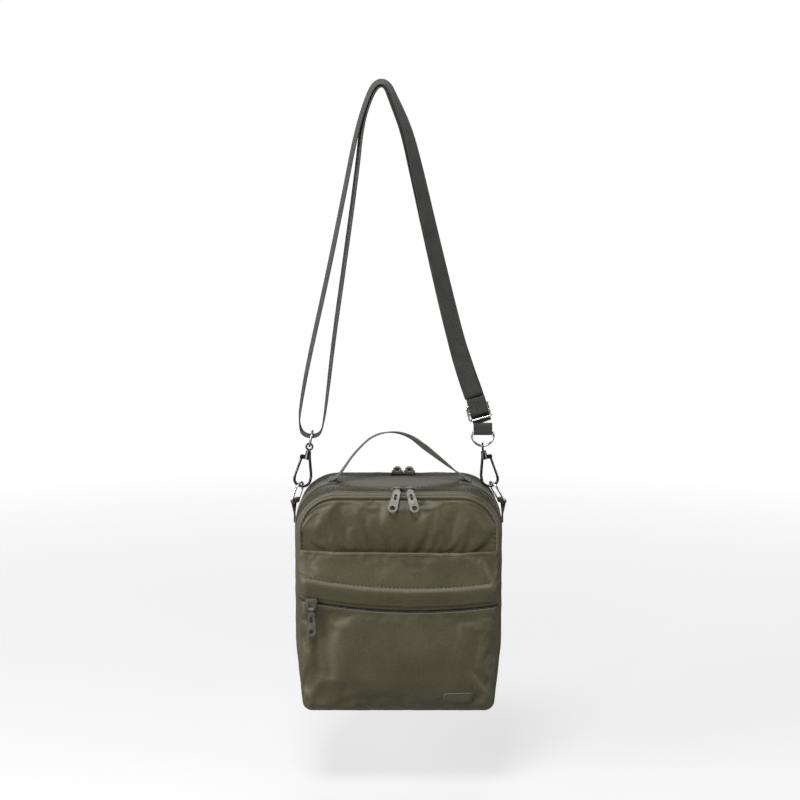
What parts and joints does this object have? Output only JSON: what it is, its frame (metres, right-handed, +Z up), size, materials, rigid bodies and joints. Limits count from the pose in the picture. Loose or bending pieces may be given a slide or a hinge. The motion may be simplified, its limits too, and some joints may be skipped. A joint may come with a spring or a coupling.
{
  "type": "crossbody bag",
  "caption": "Upright two-compartment fabric crossbody bag with a padded front, a slip pocket, a zipped pocket, a top handle and a clip-on webbing strap, shown hanging by its strap.",
  "frame": {"origin": "underside of the strap's top bend, where the bag hangs", "axes": "+Z up along the hanging strap, front of the bag faces -Y, +X to the right of the front"},
  "size_m": [0.2215, 0.1325, 0.6365],
  "materials": {
    "shell_fabric": "olive satin twill nylon, soft sheen",
    "piping_fabric": "olive twill binding",
    "zipper_tape": "woven olive tape with a nylon coil",
    "strap_webbing": "grey-olive ribbed webbing",
    "handle_webbing": "grey-olive ribbed webbing",
    "lining": "plain weave lining",
    "bright_steel": "polished nickel",
    "gunmetal": "dark gunmetal, polished",
    "painted_zip_metal": "olive-grey paint"
  },
  "bodies": {
    "strap": {"strap_strand_outer": "strap_webbing", "strap_strand_inner": "strap_webbing", "right_end_loop": "strap_webbing"},
    "adjuster": {"tri_glide_slider": "bright_steel", "slider_end_loop": "strap_webbing"},
    "left_link": {"left_strap_ring": "bright_steel", "left_swivel_eye": "gunmetal"},
    "right_link": {"right_strap_ring": "bright_steel", "right_swivel_eye": "gunmetal"},
    "left_hook": {"left_hook_body": "gunmetal", "left_hook_rivet": "gunmetal"},
    "right_hook": {"right_hook_body": "gunmetal", "right_hook_rivet": "gunmetal"},
    "left_gate": {"left_hook_gate": "gunmetal"},
    "right_gate": {"right_hook_gate": "gunmetal"},
    "bag": {"centre_gusset": "shell_fabric", "divider_panel": "lining", "front_zipper_body_tape": "zipper_tape", "rear_zipper_body_tape": "zipper_tape", "left_handle_base": "handle_webbing", "right_handle_base": "handle_webbing", "left_ring_tab": "shell_fabric", "right_ring_tab": "shell_fabric", "handle_left_foot": "handle_webbing", "handle_right_foot": "handle_webbing"},
    "left_ring": {"left_bag_ring": "bright_steel"},
    "right_ring": {"right_bag_ring": "bright_steel"},
    "handle": {"handle_strap": "handle_webbing"},
    "front_lid": {"front_panel": "shell_fabric", "front_pad": "shell_fabric", "front_lid_wall": "shell_fabric", "front_piping": "piping_fabric", "front_zipper_lid_tape": "zipper_tape", "slip_pocket_panel": "shell_fabric", "pocket_upper_band": "shell_fabric", "pocket_zip_tape": "zipper_tape", "pocket_lower_panel": "shell_fabric", "pocket_flap": "shell_fabric", "label_tab": "piping_fabric"},
    "rear_lid": {"rear_panel": "shell_fabric", "rear_lid_wall": "shell_fabric", "rear_piping": "piping_fabric", "rear_zipper_lid_tape": "zipper_tape"},
    "pocket_slider": {"pocket_zip_slider": "painted_zip_metal"},
    "pocket_pull": {"pocket_zip_pull": "painted_zip_metal"},
    "front_left_slider": {"front_slider_left": "painted_zip_metal"},
    "front_left_pull": {"front_pull_left": "painted_zip_metal"},
    "front_right_slider": {"front_slider_right": "painted_zip_metal"},
    "front_right_pull": {"front_pull_right": "painted_zip_metal"},
    "rear_left_slider": {"rear_slider_left": "painted_zip_metal"},
    "rear_left_pull": {"rear_pull_left": "painted_zip_metal"},
    "rear_right_slider": {"rear_slider_right": "painted_zip_metal"},
    "rear_right_pull": {"rear_pull_right": "painted_zip_metal"}
  },
  "joints": [
    {"name": "strap_adjust", "type": "slide", "parent": "strap", "child": "adjuster", "axis": [-0.2419, 0, 0.9703], "range_m": [0, 0.018], "deforming": ["strap_strand_outer"]},
    {"name": "left_link_swing", "type": "hinge", "parent": "strap", "child": "left_link", "pos_m": [-0.0735, 0, -0.35], "axis": [0, 1, 0], "range_deg": [-1.5, 1.5]},
    {"name": "right_link_swing", "type": "hinge", "parent": "strap", "child": "right_link", "pos_m": [0.1004, 0, -0.3495], "axis": [1, 0, 0], "range_deg": [-1.5, 1.5]},
    {"name": "left_hook_swivel", "type": "hinge", "parent": "left_link", "child": "left_hook", "pos_m": [-0.07645, 0, -0.36445], "axis": [-0.1668, 0, -0.986], "range_deg": [-8, 8]},
    {"name": "left_gate_press", "type": "hinge", "parent": "left_hook", "child": "left_gate", "pos_m": [-0.08418, 0, -0.37481], "axis": [0, -1, 0], "range_deg": [0, 20], "stiffness_Nm_per_rad": 0.02, "springref_deg": -5.73},
    {"name": "right_hook_swivel", "type": "hinge", "parent": "right_link", "child": "right_hook", "pos_m": [0.1004, 0, -0.36425], "axis": [0.1668, 0, -0.986], "range_deg": [-8, 8]},
    {"name": "right_gate_press", "type": "hinge", "parent": "right_hook", "child": "right_gate", "pos_m": [0.10813, 0, -0.37461], "axis": [0, 1, 0], "range_deg": [0, 20], "stiffness_Nm_per_rad": 0.02, "springref_deg": -5.73},
    {"name": "bag_swing", "type": "hinge", "parent": "strap", "child": "bag", "pos_m": [0.01197, 0, -0.40525], "axis": [1, 0, 0], "range_deg": [-40, 40]},
    {"name": "left_ring_tilt", "type": "hinge", "parent": "bag", "child": "left_ring", "pos_m": [-0.0914, 0, -0.4206], "axis": [0.3719, 0.9206, -0.1189], "range_deg": [0, 3]},
    {"name": "right_ring_tilt", "type": "hinge", "parent": "bag", "child": "right_ring", "pos_m": [0.1204, 0, -0.4206], "axis": [-0.3114, 0.9331, -0.18], "range_deg": [-2, 2]},
    {"name": "handle_fold", "type": "hinge", "parent": "bag", "child": "handle", "pos_m": [0.0145, 0, -0.399], "axis": [1, 0, 0], "range_deg": [-50, 50], "deforming": ["handle_left_foot", "handle_right_foot"]},
    {"name": "front_lid_open", "type": "hinge", "parent": "bag", "child": "front_lid", "pos_m": [0.0145, -0.04, -0.63], "axis": [1, 0, 0], "range_deg": [0, 80]},
    {"name": "rear_lid_open", "type": "hinge", "parent": "bag", "child": "rear_lid", "pos_m": [0.0145, 0.04, -0.63], "axis": [-1, 0, 0], "range_deg": [0, 80]},
    {"name": "front_zip_left", "type": "slide", "parent": "front_lid", "child": "front_left_slider", "axis": [1, 0, 0], "range_m": [-0.055, 0]},
    {"name": "front_pull_left_flip", "type": "hinge", "parent": "front_left_slider", "child": "front_left_pull", "pos_m": [0.01325, -0.0463, -0.397], "axis": [-1, 0, 0], "range_deg": [0, 150]},
    {"name": "front_zip_right", "type": "slide", "parent": "front_lid", "child": "front_right_slider", "axis": [1, 0, 0], "range_m": [0, 0.045]},
    {"name": "front_pull_right_flip", "type": "hinge", "parent": "front_right_slider", "child": "front_right_pull", "pos_m": [0.02575, -0.0463, -0.397], "axis": [-1, 0, 0], "range_deg": [0, 150]},
    {"name": "rear_zip_left", "type": "slide", "parent": "rear_lid", "child": "rear_left_slider", "axis": [1, 0, 0], "range_m": [-0.055, 0]},
    {"name": "rear_pull_left_flip", "type": "hinge", "parent": "rear_left_slider", "child": "rear_left_pull", "pos_m": [0.01325, 0.0463, -0.397], "axis": [1, 0, 0], "range_deg": [0, 150]},
    {"name": "rear_zip_right", "type": "slide", "parent": "rear_lid", "child": "rear_right_slider", "axis": [1, 0, 0], "range_m": [0, 0.045]},
    {"name": "rear_pull_right_flip", "type": "hinge", "parent": "rear_right_slider", "child": "rear_right_pull", "pos_m": [0.02575, 0.0463, -0.397], "axis": [1, 0, 0], "range_deg": [0, 150]},
    {"name": "pocket_zip_travel", "type": "hinge", "parent": "front_lid", "child": "pocket_slider", "pos_m": [0.0317, -0.0618, 0.03958], "axis": [0, -1, 0], "range_deg": [0, 16.8]},
    {"name": "pocket_pull_flip", "type": "hinge", "parent": "pocket_slider", "child": "pocket_pull", "pos_m": [-0.073, -0.0666, -0.5172], "axis": [-1, 0, 0], "range_deg": [0, 150]}
  ]
}
